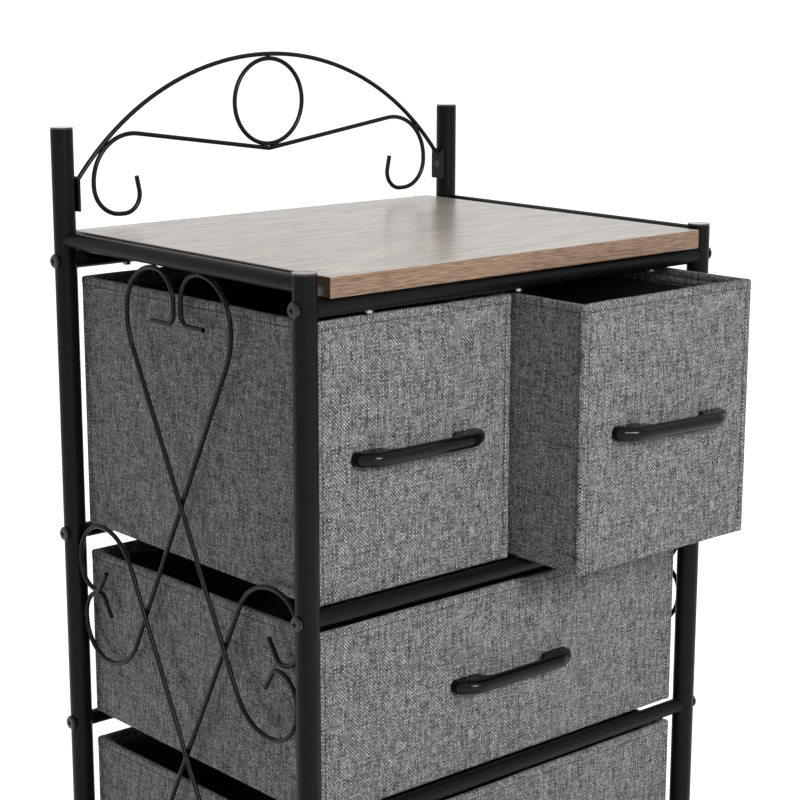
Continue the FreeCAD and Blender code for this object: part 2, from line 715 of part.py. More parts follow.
def drawer_box(name, width, height, corner, sag):
    """Fabric box: stiff walls and floor, open on top, with two holes in its front for the handle."""
    label = name + "_box"
    blank = box(label + "_blank", width, DRAWER_DEPTH, height, corner)
    rounded = filleted(label + "_rounded", blank, lambda edge: size("drawer_corner") if upright(edge) else 0)
    wall = size("drawer_wall")
    hollow = box(label + "_hollow", f"{width} - 2 * sizes.drawer_wall",
                 f"{DRAWER_DEPTH} - 2 * sizes.drawer_wall", f"{height}",
                 corner + vector(wall, wall, size("drawer_floor")))
    middle = corner + vector(sheet.evalExpression(width) / 2, 0, sheet.evalExpression(height) / 2)
    holes = []
    for number, place_out in enumerate(handle_screw_places(sag), start=1):
        start = middle + place_out - vector(0, size("cut_overrun"), 0)
        holes.append(cylinder(f"{label}_hole_{number}", "sizes.handle_screw_diameter / 2 + sizes.screw_play",
                              "sizes.drawer_wall + 2 * sizes.cut_overrun", start, ALONG_Y))
    keep(cut(label, rounded, [hollow] + holes), label)
    return middle


def insert_board(name, width, corner):
    """Stiff insert that lies on the box's floor."""
    inset = size("drawer_wall") + size("insert_board_gap")
    trim = "2 * sizes.drawer_wall - 2 * sizes.insert_board_gap"
    item = box(name + "_insert", f"{width} - {trim}", f"{DRAWER_DEPTH} - {trim}",
               "sizes.insert_board_thickness", corner + vector(inset, inset, size("drawer_floor")))
    keep(item, name + "_insert")


def bow_handle():
    """Moulded bow: two end blocks with the grip between them, drilled from behind for its two screws."""
    end = "sizes.handle_length / 2"
    foot = f"({end} - sizes.handle_block_length)"
    right = [
        (f"{end} - sizes.handle_slope", f"-{HANDLE_REACH}"),
        (end, "-sizes.handle_end_depth"),
        (end, "0"),
        (foot, "0"),
        (f"{foot} - sizes.handle_gap_slope", "-sizes.handle_finger_gap"),
    ]
    left = [(f"-({x})", y) for x, y in reversed(right)]
    blank = padded("handle_blank", right + left, "sizes.handle_height")
    bends = {
        handle_reach: size("handle_shoulder_bend"),
        size("handle_end_depth"): size("handle_end_bend"),
        size("handle_finger_gap"): size("handle_gap_bend"),
    }

    def plan_bend(edge):
        """The bend of an upright edge, told by how far out the edge stands."""
        if not upright(edge):
            return 0
        return sum(bend for out, bend in bends.items() if abs(out + edge.CenterOfMass.y) < ALMOST_NOTHING)

    nose = min(size("handle_rounding"), BENDS_IN_RUN_SHARE * size("handle_height") / 2)
    back = min(size("handle_back_rounding"), BENDS_IN_RUN_SHARE * (size("handle_grip_depth") - nose))

    def rim_rounding(edge):
        """Round the upper and lower rims, more outside than by the fingers, but not against the cloth."""
        if abs(edge.Vertexes[0].Z - edge.Vertexes[-1].Z) > ALMOST_NOTHING:
            return 0
        if edge.CenterOfMass.y > -ALMOST_NOTHING:
            return 0
        return back if by_fingers(edge) else nose

    def by_fingers(edge):
        """Whether an edge of the rim bounds the finger gap."""
        foot_x = size("handle_length") / 2 - size("handle_block_length") + ALMOST_NOTHING
        far_out = -size("handle_finger_gap") - ALMOST_NOTHING
        return all(abs(vertex.X) < foot_x and vertex.Y > far_out for vertex in edge.Vertexes)

    bow = filleted("handle_bow", blank, plan_bend)
    smooth = filleted("handle_smooth", bow, rim_rounding)
    holes = []
    for number, sign in enumerate((-1, 1), start=1):
        deep = vector(sign * size("handle_hole_spacing") / 2, -size("handle_screw_bite"),
                      size("handle_height") / 2)
        holes.append(cylinder(f"handle_hole_{number}", "sizes.handle_screw_diameter / 2 + sizes.screw_play",
                              "sizes.handle_screw_bite + sizes.cut_overrun", deep, ALONG_Y))
    return cut("handle_form", smooth, holes)


def handle_fixings(name, middle, sag):
    """Two screws and two washers inside the box's front."""
    seat = middle + vector(0, size("drawer_wall"), 0)
    places = [(seat + place_out, ALONG_Y) for place_out in handle_screw_places(sag)]
    group(name + "_handle_washers", handle_washer, places)
    group(name + "_handle_screws", handle_screw, places)


def drawer(name, width, height, corner, sag=ALONG_Z):
    """One drawer; its handle turns with the front where that sags."""
    middle = drawer_box(name, width, height, corner, sag)
    insert_board(name, width, corner)
    low = sag.multVec(vector(0, 0, size("handle_height") / 2))
    group(name + "_handle", handle_form, [(middle - low, sag)])
    handle_fixings(name, middle, sag)


for side_name in SIDES:
    for depth_name in DEPTHS:
        post(side_name, depth_name)
    for level_name in side_tube_z:
        side_tube(side_name, level_name)
for level_name in rail_z:
    for depth_name in DEPTHS:
        rail(depth_name, level_name)
post_ends()
rail_fixings()
top_board()
for side_name in SIDES:
    heart_wires(side_name)
back_arch()
arch_plates()

# Drawers: the two small ones side by side on the upper rails, a wide one on each level below
wide_x = sheet.evalExpression(WIDE_WIDTH) / 2
small_in = size("small_drawer_middle_gap") / 2
small_out = small_in + sheet.evalExpression(SMALL_WIDTH)
runner_inset = size("runner_inset")
runners("upper", [side * x for side in SIDES.values()
                  for x in (small_in + runner_inset, small_out - runner_inset)])
for level_name in ("lower", "bottom"):
    runners(level_name, [side * (wide_x - runner_inset) for side in SIDES.values()])

handle_form = bow_handle()
washer_rim = "sizes.washer_diameter / 2"
screw_hole = "sizes.handle_screw_diameter / 2 + sizes.screw_play"
handle_washer = turned("handle_washer_form", [
    (screw_hole, "0"),
    (washer_rim, "0"),
    (washer_rim, "sizes.washer_thickness"),
    (screw_hole, "sizes.washer_thickness"),
])
screw_crown = "sizes.washer_thickness + sizes.handle_screw_head_height"
screw_tip = "sizes.screw_play - sizes.drawer_wall - sizes.handle_screw_bite"
handle_screw = turned("handle_screw_form", [
    ("0", screw_crown),
    ("sizes.handle_screw_head / 2", screw_crown),
    ("sizes.handle_screw_head / 2", "sizes.washer_thickness"),
    ("sizes.handle_screw_diameter / 2", "sizes.washer_thickness"),
    ("sizes.handle_screw_diameter / 2", screw_tip),
    ("0", screw_tip),
])
front_face = depth_y["front"] + size("drawer_front_inset")
floor_z = {level: height + rail_radius + size("drawer_rail_gap") for level, height in rail_z.items()}
drawer("left_small_drawer", SMALL_WIDTH, SMALL_HEIGHT, vector(-small_out, front_face, floor_z["upper"]))
drawer("right_small_drawer", SMALL_WIDTH, SMALL_HEIGHT,
       vector(small_in, front_face - size("drawer_pull"), floor_z["upper"]),
       FreeCAD.Rotation(Y_AXIS, SAGGING_HANDLE_ANGLE))
drawer("middle_wide_drawer", WIDE_WIDTH, WIDE_HEIGHT, vector(-wide_x, front_face, floor_z["lower"]))
drawer("bottom_wide_drawer", WIDE_WIDTH, LOWEST_HEIGHT, vector(-wide_x, front_face, floor_z["bottom"]))

doc.recompute()
for item in doc.Objects:
    if "Invalid" in item.State or "Error" in item.State:
        raise RuntimeError(f"{item.Label} did not rebuild: {item.State}")
for item in pieces:
    if item.Shape.isNull() or not item.Shape.isValid():
        raise RuntimeError(f"{item.Label} has no valid shape")
os.makedirs("parts", exist_ok=True)
for item in pieces:
    item.Shape.exportStep(f"parts/{item.Label}.step")
    print(item.Label, len(item.Shape.Solids), "solids", round(item.Shape.Volume), "mm3")
print(len(pieces), "nodes")
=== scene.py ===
import json
import math

import bpy
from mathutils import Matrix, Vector, noise
from mathutils.bvhtree import BVHTree


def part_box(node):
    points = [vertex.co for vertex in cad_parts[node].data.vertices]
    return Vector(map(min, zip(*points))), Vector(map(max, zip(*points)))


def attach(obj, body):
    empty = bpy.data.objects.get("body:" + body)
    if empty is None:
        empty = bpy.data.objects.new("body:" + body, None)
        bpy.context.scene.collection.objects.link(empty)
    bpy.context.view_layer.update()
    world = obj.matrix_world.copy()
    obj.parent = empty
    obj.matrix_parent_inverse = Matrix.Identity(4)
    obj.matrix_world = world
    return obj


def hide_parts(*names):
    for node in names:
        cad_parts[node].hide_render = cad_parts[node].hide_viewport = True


# Fabric drawer dresser in its black tube frame, photographed from its front left and a little above.
# Metres. +X right, +Y back, +Z up, the same frame as the solids.
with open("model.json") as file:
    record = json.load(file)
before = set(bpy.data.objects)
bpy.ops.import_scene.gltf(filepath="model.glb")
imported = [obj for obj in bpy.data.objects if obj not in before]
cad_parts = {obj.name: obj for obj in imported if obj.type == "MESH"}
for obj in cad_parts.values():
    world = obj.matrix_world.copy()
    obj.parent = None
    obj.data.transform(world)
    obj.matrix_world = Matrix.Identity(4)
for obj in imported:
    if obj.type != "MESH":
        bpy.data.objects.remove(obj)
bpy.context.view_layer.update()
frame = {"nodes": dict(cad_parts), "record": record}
nodes = frame["nodes"]
MM = 0.001

DRAWERS = ("left_small_drawer", "right_small_drawer", "middle_wide_drawer", "bottom_wide_drawer")


class Finish:
    """A material under construction: short calls that add nodes to its tree."""

    def __init__(self, name, **sockets):
        self.material = bpy.data.materials.new(name)
        self.material.use_nodes = True
        self.tree = self.material.node_tree
        self.shader = self.tree.nodes["Principled BSDF"]
        self.set(**sockets)

    def feed(self, socket, value):
        if isinstance(value, bpy.types.NodeSocket):
            self.tree.links.new(value, socket)
        else:
            socket.default_value = value

    def set(self, **sockets):
        """Set or link sockets of the surface shader, named in lower case."""
        for name, value in sockets.items():
            title = name.replace("_", " ").title().replace("Ior", "IOR")
            self.feed(self.shader.inputs[title], value)
        return self

    def node(self, kind, inputs, **properties):
        item = self.tree.nodes.new("ShaderNode" + kind)
        for name, value in properties.items():
            setattr(item, name, value)
        for name, value in inputs.items():
            self.feed(item.inputs[name], value)
        return item

    def sum(self, operation, first, second=0.0):
        return self.node("Math", {0: first, 1: second}, operation=operation).outputs[0]

    def place(self):
        return self.node("TexCoord", {}).outputs["Object"]

    def woven_place(self):
        return self.node("UVMap", {}, uv_map=CLOTH_MAP).outputs["UV"]

    def stretch(self, coords, factors):
        return self.node("VectorMath", {0: coords, 1: factors}, operation="MULTIPLY").outputs[0]

    def parts(self, coords):
        return self.node("SeparateXYZ", {0: coords}).outputs

    def join(self, x, y, z=0.0):
        return self.node("CombineXYZ", {0: x, 1: y, 2: z}).outputs[0]

    def cloud(self, coords, scale, detail=2.0, roughness=0.5):
        inputs = {"Vector": coords, "Scale": scale, "Detail": detail, "Roughness": roughness}
        return self.node("TexNoise", inputs).outputs[0]

    def spread(self, value, low, high, to_low=0.0, to_high=1.0):
        """A value between two limits, moved to two others."""
        inputs = {0: value, 1: low, 2: high, 3: to_low, 4: to_high}
        return self.node("MapRange", inputs).outputs[0]

    def mix(self, share, first, second):
        item = self.node("Mix", {}, data_type="RGBA")
        self.feed(item.inputs[0], share)
        self.feed(item.inputs[6], first)
        self.feed(item.inputs[7], second)
        return item.outputs[2]

    def choose(self, share, first, second):
        item = self.node("Mix", {}, data_type="FLOAT")
        for number, value in enumerate((share, first, second)):
            self.feed(item.inputs[number if number == 0 else number + 1], value)
        return item.outputs[0]

    def ramp(self, value, stops):
        item = self.node("ValToRGB", {0: value})
        for number, (position, colour) in enumerate(stops):
            if number < 2:
                stop = item.color_ramp.elements[number]
                stop.position = position
            else:
                stop = item.color_ramp.elements.new(position)
            stop.color = colour
        return item.outputs[0]

    def relief(self, height, depth, strength=1.0):
        """Bump from a height of 0 to 1 that stands for a real depth in metres."""
        bump = self.node("Bump", {"Height": height, "Distance": depth, "Strength": strength})
        return self.set(normal=bump.outputs[0])


def grey(level, warmth=0.0):
    return (level * (1 + warmth), level, level * (1 - warmth), 1)


# How fine a finish's marks are, in marks a metre, and how deep they lie
PEEL_FINENESS = 1500
PEEL_DEPTH = 0.03 * MM
COAT_DRIFT = 40
FLOW_FINENESS = 120
SKIN_FINENESS = 2500
SKIN_DEPTH = 0.003 * MM
BRUSH_FINENESS = (300, 2500, 300)
BRUSH_DEPTH = 0.01 * MM
# The middle of a noise's values, and how far a finish's gloss drifts over it
NOISE_MIDDLE = (0.3, 0.7)
COAT_GLOSS = 0.05
FLOW_GLOSS = 0.06
BRUSH_GLOSS = (0.06, 0.08)


def powder_coat(name, level, gloss, shine):
    """Black powder coat: satin, with a fine orange peel."""
    finish = Finish(name, specular_ior_level=shine)
    coords = finish.place()
    peel = finish.cloud(coords, PEEL_FINENESS, detail=3)
    drift = finish.cloud(coords, COAT_DRIFT)
    finish.set(base_color=finish.mix(drift, grey(level * 0.8), grey(level * 1.3, -0.02)))
    finish.set(roughness=finish.spread(drift, *NOISE_MIDDLE, gloss - COAT_GLOSS, gloss + COAT_GLOSS))
    finish.relief(peel, PEEL_DEPTH)
    return finish.material


def moulded_plastic(name, level, gloss, polish=0.0):
    """Black moulded plastic with faint flow marks, polished or not."""
    finish = Finish(name, specular_ior_level=0.15, coat_weight=polish, coat_roughness=0.06)
    coords = finish.place()
    flow = finish.cloud(coords, FLOW_FINENESS, detail=4)
    skin = finish.cloud(coords, SKIN_FINENESS, detail=2)
    finish.set(base_color=finish.mix(flow, grey(level * 0.7), grey(level * 1.4)))
    finish.set(roughness=finish.spread(flow, *NOISE_MIDDLE, gloss - FLOW_GLOSS, gloss + FLOW_GLOSS))
    finish.relief(skin, SKIN_DEPTH)
    return finish.material


def plated_steel(name, level, gloss):
    """Bright zinc with fine brush marks."""
    finish = Finish(name, metallic=1.0)
    coords = finish.place()
    brush = finish.cloud(finish.stretch(coords, BRUSH_FINENESS), 1.0, detail=4)
    finish.set(base_color=finish.mix(brush, grey(level * 0.8), grey(level, -0.02)))
    finish.set(roughness=finish.spread(brush, *NOISE_MIDDLE, gloss - BRUSH_GLOSS[0], gloss + BRUSH_GLOSS[1]))
    finish.relief(brush, BRUSH_DEPTH)
    return finish.material


CLOTH_MAP = "cloth"
THREAD_PITCH = 1.5 * MM
WEAVE_DEPTH = 0.25 * MM
WEAVE_STRENGTH = 0.8
# How fast the threads' wander and their tones change, counted in threads
WANDER_FINENESS = 0.11
YARN_APART = 3.7
STREAK_RUN = 0.08
SHARED_APART = 0.7
SHARED_RUN = 0.12
SHARED_SEED = 4.4
SHARED_SHARE = 0.4
SLUB_RUN = 0.4
SLUB_SEED = 9.1
SLUB_SHARE = 0.4
CROSSING_APART = (2.9, 3.3)
CROSSING_SEED = 17.3
CROSSING_MIDDLE = (0.25, 0.75)
CROSSING_SHADE = (0.55, 1.45)
# How a thread's height maps to the painted shade on its flanks
THREAD_ROUND = (0.0, 0.8)
THREAD_FLANK_PAINTED_SHADE = (0.12, 1.0)
PALE_YARN = ((0.38, grey(0.085)), (0.62, grey(0.61)))
DARK_YARN = ((0.38, grey(0.003)), (0.62, grey(0.29)))
# Near-black grey of the painted shade between the threads
PAINTED_SHADE_GREY = grey(0.01)


def linen():
    """Grey plain weave of mottled yarns: pale warp, dark weft, every thread with slubs of its own, with
    painted shade darkening each thread's flanks.
    """
    finish = Finish("grey_linen_weave", roughness=0.92, specular_ior_level=0.08, sheen_weight=0.08,
                    sheen_roughness=0.5)
    threads = finish.stretch(finish.woven_place(), (1 / THREAD_PITCH,) * 3)
    drift = finish.node("TexNoise", {"Vector": threads, "Scale": WANDER_FINENESS, "Detail": 2.0})
    wander = finish.node("VectorMath", {0: drift.outputs["Color"], 1: (0.5,) * 3}, operation="SUBTRACT")
    strayed = finish.node("VectorMath", {0: threads, 1: wander.outputs[0]}, operation="ADD")
    across, up, _ = finish.parts(strayed.outputs[0])
    warp = finish.sum("FLOOR", across)
    weft = finish.sum("FLOOR", up)
    weft_over = finish.sum("PINGPONG", finish.sum("ADD", warp, weft), 1.0)
    warp_round = finish.sum("SINE", finish.sum("MULTIPLY", finish.sum("FRACT", across), math.pi))
    weft_round = finish.sum("SINE", finish.sum("MULTIPLY", finish.sum("FRACT", up), math.pi))

    def yarn(number, along):
        """Tone along one thread: streaks that a few threads share, streaks of its own and short slubs."""
        def tone(apart, run, detail, seed=0.0):
            aside = finish.sum("MULTIPLY", number, apart)
            onward = finish.sum("MULTIPLY", along, run)
            return finish.cloud(finish.join(aside, onward, seed), 1.0, detail=detail)

        shared = tone(SHARED_APART, SHARED_RUN, 1, SHARED_SEED)
        streak = tone(YARN_APART, STREAK_RUN, 1)
        slub = tone(YARN_APART, SLUB_RUN, 2, SLUB_SEED)
        return finish.choose(SLUB_SHARE, finish.choose(SHARED_SHARE, streak, shared), slub)

    pale = finish.ramp(yarn(warp, up), PALE_YARN)
    dark = finish.ramp(yarn(weft, across), DARK_YARN)
    height = finish.choose(weft_over, warp_round, weft_round)
    # Painted shade: each thread's flanks are darkened towards a near-black grey by their height, then every
    # crossing gets a random tone of its own.
    shade = finish.spread(height, *THREAD_ROUND, *THREAD_FLANK_PAINTED_SHADE)
    crossing_place = finish.join(finish.sum("MULTIPLY", warp, CROSSING_APART[0]),
                                 finish.sum("MULTIPLY", weft, CROSSING_APART[1]), CROSSING_SEED)
    crossing = finish.cloud(crossing_place, 1.0, detail=0)
    shade = finish.sum("MULTIPLY", shade, finish.spread(crossing, *CROSSING_MIDDLE, *CROSSING_SHADE))
    finish.set(base_color=finish.mix(shade, PAINTED_SHADE_GREY, finish.mix(weft_over, pale, dark)))
    finish.relief(height, WEAVE_DEPTH, WEAVE_STRENGTH)
    return finish.material


BOND_FINENESS = 700
BOND_DEPTH = 0.12 * MM
BOND_EDGE = (0.1, 0.5)
LINING_TONES = (grey(0.014), grey(0.032))
FIBRE_FINENESS = (900, 2600, 1)
TWIST_FINENESS = 2600
TWIST_DEPTH = 0.05 * MM


def black_lining(name, on_cloth):
    """Black non-woven cloth with the small round bonding points that it is pressed with."""
    finish = Finish(name, roughness=0.8, specular_ior_level=0.25)
    coords = finish.woven_place() if on_cloth else finish.place()
    points = finish.node("TexVoronoi", {"Vector": coords, "Scale": BOND_FINENESS, "Randomness": 0.25})
    fibres = finish.cloud(finish.stretch(coords, FIBRE_FINENESS), 1.0, detail=4)
    finish.set(base_color=finish.mix(fibres, *LINING_TONES))
    finish.relief(finish.spread(points.outputs["Distance"], *BOND_EDGE), BOND_DEPTH)
    return finish.material


def thread(name, level):
    """Twisted sewing thread."""
    finish = Finish(name, roughness=0.75, sheen_weight=0.1)
    coords = finish.place()
    twist = finish.cloud(coords, TWIST_FINENESS, detail=3)
    finish.set(base_color=finish.mix(twist, grey(level * 0.6), grey(level * 1.4)))
    finish.relief(twist, TWIST_DEPTH)
    return finish.material


# Marks a metre along the board, across it and up its edge
OAK_LINES = (7, 260, 520)
OAK_FIGURE = (2.2, 26, 26)
OAK_DASHES = (70, 420, 1500)
OAK_GRAIN = (15, 150, 0)
OAK_PORES = (60, 1300, 1700)
# Shares of the marks in the print, and the limits between faces and between wood and pore
LINES_SHARE = 0.72
FIGURE_SHARE = 0.28
FINE_SHARE = 0.65
FACE_TURN = (0.6, 0.8)
PORE_EDGE = (0.56, 0.68)
PORE_SHARE = 0.55
PORE_GLOSS = (0.3, 0.5)
PORE_DEPTH = 0.05 * MM
EDGE_BROWN = ((0.40, (0.085, 0.045, 0.024, 1)), (0.60, (0.34, 0.205, 0.122, 1)))
# The top's grain tones, paler and greyer than the edge bands: painted sheen of the bright backdrop
TOP_GRAIN_AND_PAINTED_SHEEN = ((0.38, (0.22, 0.178, 0.142, 1)), (0.62, (0.66, 0.565, 0.48, 1)))
# Near-black brown of the painted shade on the board's end faces, which lie in shade beside the side tubes
END_PAINTED_SHADE = (0.03, 0.022, 0.015, 1)
END_PAINTED_SHADE_SHARE = 0.7
PORE_BROWN = (0.16, 0.1, 0.065, 1)


def oak():
    """Grey-brown oak print: grain along the board, finer and browner lines on its edge bands, paler and
    greyer grain on the top as painted sheen, and end faces darkened as painted shade.
    """
    finish = Finish("oak_laminate", specular_ior_level=0.3, coat_weight=0.55, coat_roughness=0.28)
    faces = finish.parts(finish.node("NewGeometry", {}).outputs["Normal"])
    end = finish.spread(finish.sum("ABSOLUTE", faces[0]), *FACE_TURN)
    top = finish.spread(finish.sum("ABSOLUTE", faces[2]), *FACE_TURN)
    x, y, z = finish.parts(finish.place())
    along = finish.choose(end, x, y)
    aside = finish.choose(end, y, x)

    def marks(fineness, detail, roughness):
        """Noise drawn out along the board."""
        scaled = [finish.sum("MULTIPLY", place, rate) for place, rate in zip((along, aside, z), fineness)]
        return finish.cloud(finish.join(*scaled), 1.0, detail=detail, roughness=roughness)

    lines = marks(OAK_LINES, 6, 0.65)
    figure = marks(OAK_FIGURE, 3, 0.5)
    tone = finish.sum("ADD", finish.sum("MULTIPLY", lines, LINES_SHARE),
                      finish.sum("MULTIPLY", figure, FIGURE_SHARE))
    brown = finish.ramp(finish.choose(FINE_SHARE, tone, marks(OAK_DASHES, 3, 0.6)), EDGE_BROWN)
    # Top faces: the grain in paler, greyer tones that paint in the top's sheen.
    dull = finish.ramp(finish.choose(FINE_SHARE, tone, marks(OAK_GRAIN, 4, 0.7)), TOP_GRAIN_AND_PAINTED_SHEEN)
    # Painted shade: the end faces are darkened towards a near-black brown.
    edge = finish.mix(finish.sum("MULTIPLY", end, END_PAINTED_SHADE_SHARE), brown, END_PAINTED_SHADE)
    wood = finish.mix(top, edge, dull)
    pore = finish.spread(marks(OAK_PORES, 3, 0.6), *PORE_EDGE)
    finish.set(base_color=finish.mix(finish.sum("MULTIPLY", pore, PORE_SHARE), wood, PORE_BROWN))
    finish.set(roughness=finish.spread(pore, 0.0, 1.0, *PORE_GLOSS))
    finish.relief(finish.sum("SUBTRACT", 1.0, pore), PORE_DEPTH)
    return finish.material


FRAME_COAT = powder_coat("frame_powder_coat", 0.005, 0.36, 0.08)
WIRE_COAT = powder_coat("wire_powder_coat", 0.005, 0.24, 0.14)
BOLT_BLACK = powder_coat("black_oxide", 0.007, 0.16, 0.36)
PLUG_PLASTIC = moulded_plastic("plug_plastic", 0.012, 0.2, polish=0.8)
FOOT_PLASTIC = moulded_plastic("foot_plastic", 0.012, 0.55)
HANDLE_PLASTIC = moulded_plastic("handle_plastic", 0.003, 0.13)
ZINC = plated_steel("bright_zinc", 0.4, 0.24)
LINEN = linen()
LINING = black_lining("black_lining", on_cloth=True)
INSERT_COVER = black_lining("insert_cover", on_cloth=False)
DARK_THREAD = thread("dark_thread", 0.006)
OAK = oak()

SLOT_FINISH = {
    "frame_paint": FRAME_COAT,
    "wire_paint": WIRE_COAT,
    "bolt_black": BOLT_BLACK,
    "plug_plastic": PLUG_PLASTIC,
    "foot_plastic": FOOT_PLASTIC,
    "zinc_steel": ZINC,
    "oak_board": OAK,
    "drawer_fabric": LINEN,
    "insert_board": INSERT_COVER,
    "handle_plastic": HANDLE_PLASTIC,
}


def dress_solids():
    """Give every solid the finish of its slot."""
    for part in frame["record"]["subparts"]:
        solid = nodes[part["node"]]
        solid.data.materials.clear()
        solid.data.materials.append(SLOT_FINISH[part["material_slot"]])


def new_piece(name, points, faces, materials, body):
    """A smooth mesh of the scene's own that goes with a body."""
    mesh = bpy.data.meshes.new(name)
    mesh.from_pydata(points, [], faces)
    mesh.update()
    for material in materials:
        mesh.materials.append(material)
    mesh.polygons.foreach_set("use_smooth", [True] * len(mesh.polygons))
    piece = bpy.data.objects.new(name, mesh)
    bpy.context.scene.collection.objects.link(piece)
    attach(piece, body)
    return piece


# Fabric drawers
CLOTH_CORNER = 3 * MM
CORNER_STEPS = 5
INNER_ROUNDING = 0.4 * MM
WALL = 3.5 * MM
WALL_LOW = 5 * MM
FLOOR = 2.3 * MM
FLOOR_COVE = 3 * MM
HEM = 9 * MM
HEM_START = 2 * MM
INNER_HEM = 13 * MM
INNER_HEM_START = 1.5 * MM
GRID = 7 * MM
SEED_FIRST = 2.0
SEED_STEP = 11.0
# Distance from a corner along a wall, and how far the sewn edge stands out there, in millimetres
SEAM_RIDGE = ((0.0, 0.75), (0.7, 0.8), (1.5, 0.75), (2.3, 0.55), (2.9, 0.1), (3.4, -0.35), (3.9, -0.35),
              (4.4, 0.0), (5.2, 0.1), (6.5, 0.0))
SIDE_RIDGE = ((0.0, 0.75), (0.5, 0.7), (0.9, 0.35), (1.4, -0.1), (2.0, 0.0), (6.5, 0.0))
RIDGE_FADE = 2 * MM
RIDGE_AT_HEM = 0.45
# How far each box's rim lies lower at the front and rear end of its sides, in millimetres
RIM_SAG = {
    "left_small_drawer": (0.4, 2.2),
    "right_small_drawer": (0.6, 2.4),
    "middle_wide_drawer": (0.0, 3.6),
    "bottom_wide_drawer": (0.0, 3.6),
}
# How far the cloth gives, in millimetres, and how often its waves come, in waves a metre
BELLY = 0.45
SLACK = 0.5
SLACK_WAVES = 9
COARSE_SLACK = 0.5
FINE_SLACK = 0.2
FINE_SLACK_STEP = 3.1
LEAN = 0.6
LEAN_WAVES = 7
RIM_WAVE = 0.7
RIM_WAVES = 14
RIM_BAND = 0.25
SETTLED_HEIGHT = 20 * MM
# Millimetres in from the wall's face and up from the underside, hem's edge, rim, inner hem or floor
UNDER_STEPS = ((40, 0.4), (10, 0.2), (3.2, 0.05), (1.4, 0.1), (0.5, 0.45), (0.1, 1.1), (0.0, 2.4))
HEM_STEPS = ((0.0, -0.6), (-0.15, -0.2), (-0.55, 0.1), (-0.7, 0.7), (-0.62, 1.3), (-0.2, 2.0), (-0.62, 2.7),
             (-0.75, 4.0), (-0.7, 6.2))
RIM_STEPS = ((-0.55, -1.7), (-0.1, -0.8), (0.7, -0.2), (1.75, 0.0), (2.8, -0.2), (3.6, -0.8), (4.05, -1.7))
FOLD_STEPS = ((4.15, 9.0), (4.1, 7.2), (3.8, 6.8), (4.1, 6.4), (4.12, 2.5), (3.95, 0.4), (3.5, 0.0))
FLOOR_STEPS = ((5, 0.8), (9, 0), (40, 0))
STITCH_PITCH = 3.4 * MM
STITCH_LENGTH = 2.5 * MM
STITCH_RADIUS = 0.52 * MM
HEM_STITCH_RISE = 2 * MM
HEM_STITCH_INSET = -0.3 * MM
FOLD_STITCH_RISE = 6.8 * MM
FOLD_STITCH_INSET = 3.9 * MM
FOLD_STITCH_CLEAR = 6 * MM
SEAM_STITCH_PLACE = 3.65 * MM
SEAM_STITCH_LOW = 4 * MM
SEAM_STITCH_CLEAR = 6 * MM


def wall_profile(height):
    """Steps from the underside, up the outside, over the rim and down the inside: inset, height, lining."""
    wall_top = height - HEM - HEM_START
    rows = max(2, round((wall_top - WALL_LOW) / GRID))
    outside = [(0.0, WALL_LOW + (wall_top - WALL_LOW) * row / rows) for row in range(rows + 1)]
    inner_top = height - INNER_HEM - INNER_HEM_START
    inside = [(WALL, inner_top + (FLOOR + FLOOR_COVE - inner_top) * row / rows) for row in range(rows + 1)]
    steps = [(inset * MM, rise * MM, 0) for inset, rise in UNDER_STEPS]
    steps += [(inset, rise, 0) for inset, rise in outside]
    steps += [(inset * MM, height - HEM + rise * MM, 0) for inset, rise in HEM_STEPS]
    steps += [(inset * MM, height + rise * MM, 0) for inset, rise in RIM_STEPS]
    steps += [(inset * MM, height - INNER_HEM + rise * MM, 0) for inset, rise in FOLD_STEPS]
    steps += [(inset, rise, 1) for inset, rise in inside]
    steps += [(inset * MM, FLOOR + rise * MM, 1) for inset, rise in FLOOR_STEPS]
    return steps


def ridge_of(side):
    return SEAM_RIDGE if side % 2 == 0 else SIDE_RIDGE


def between(rows, place):
    """A value read between the rows of a short table."""
    for (low, first), (high, second) in zip(rows, rows[1:]):
        if place <= high:
            return first + (second - first) * (place - low) / (high - low)
    return rows[-1][1]


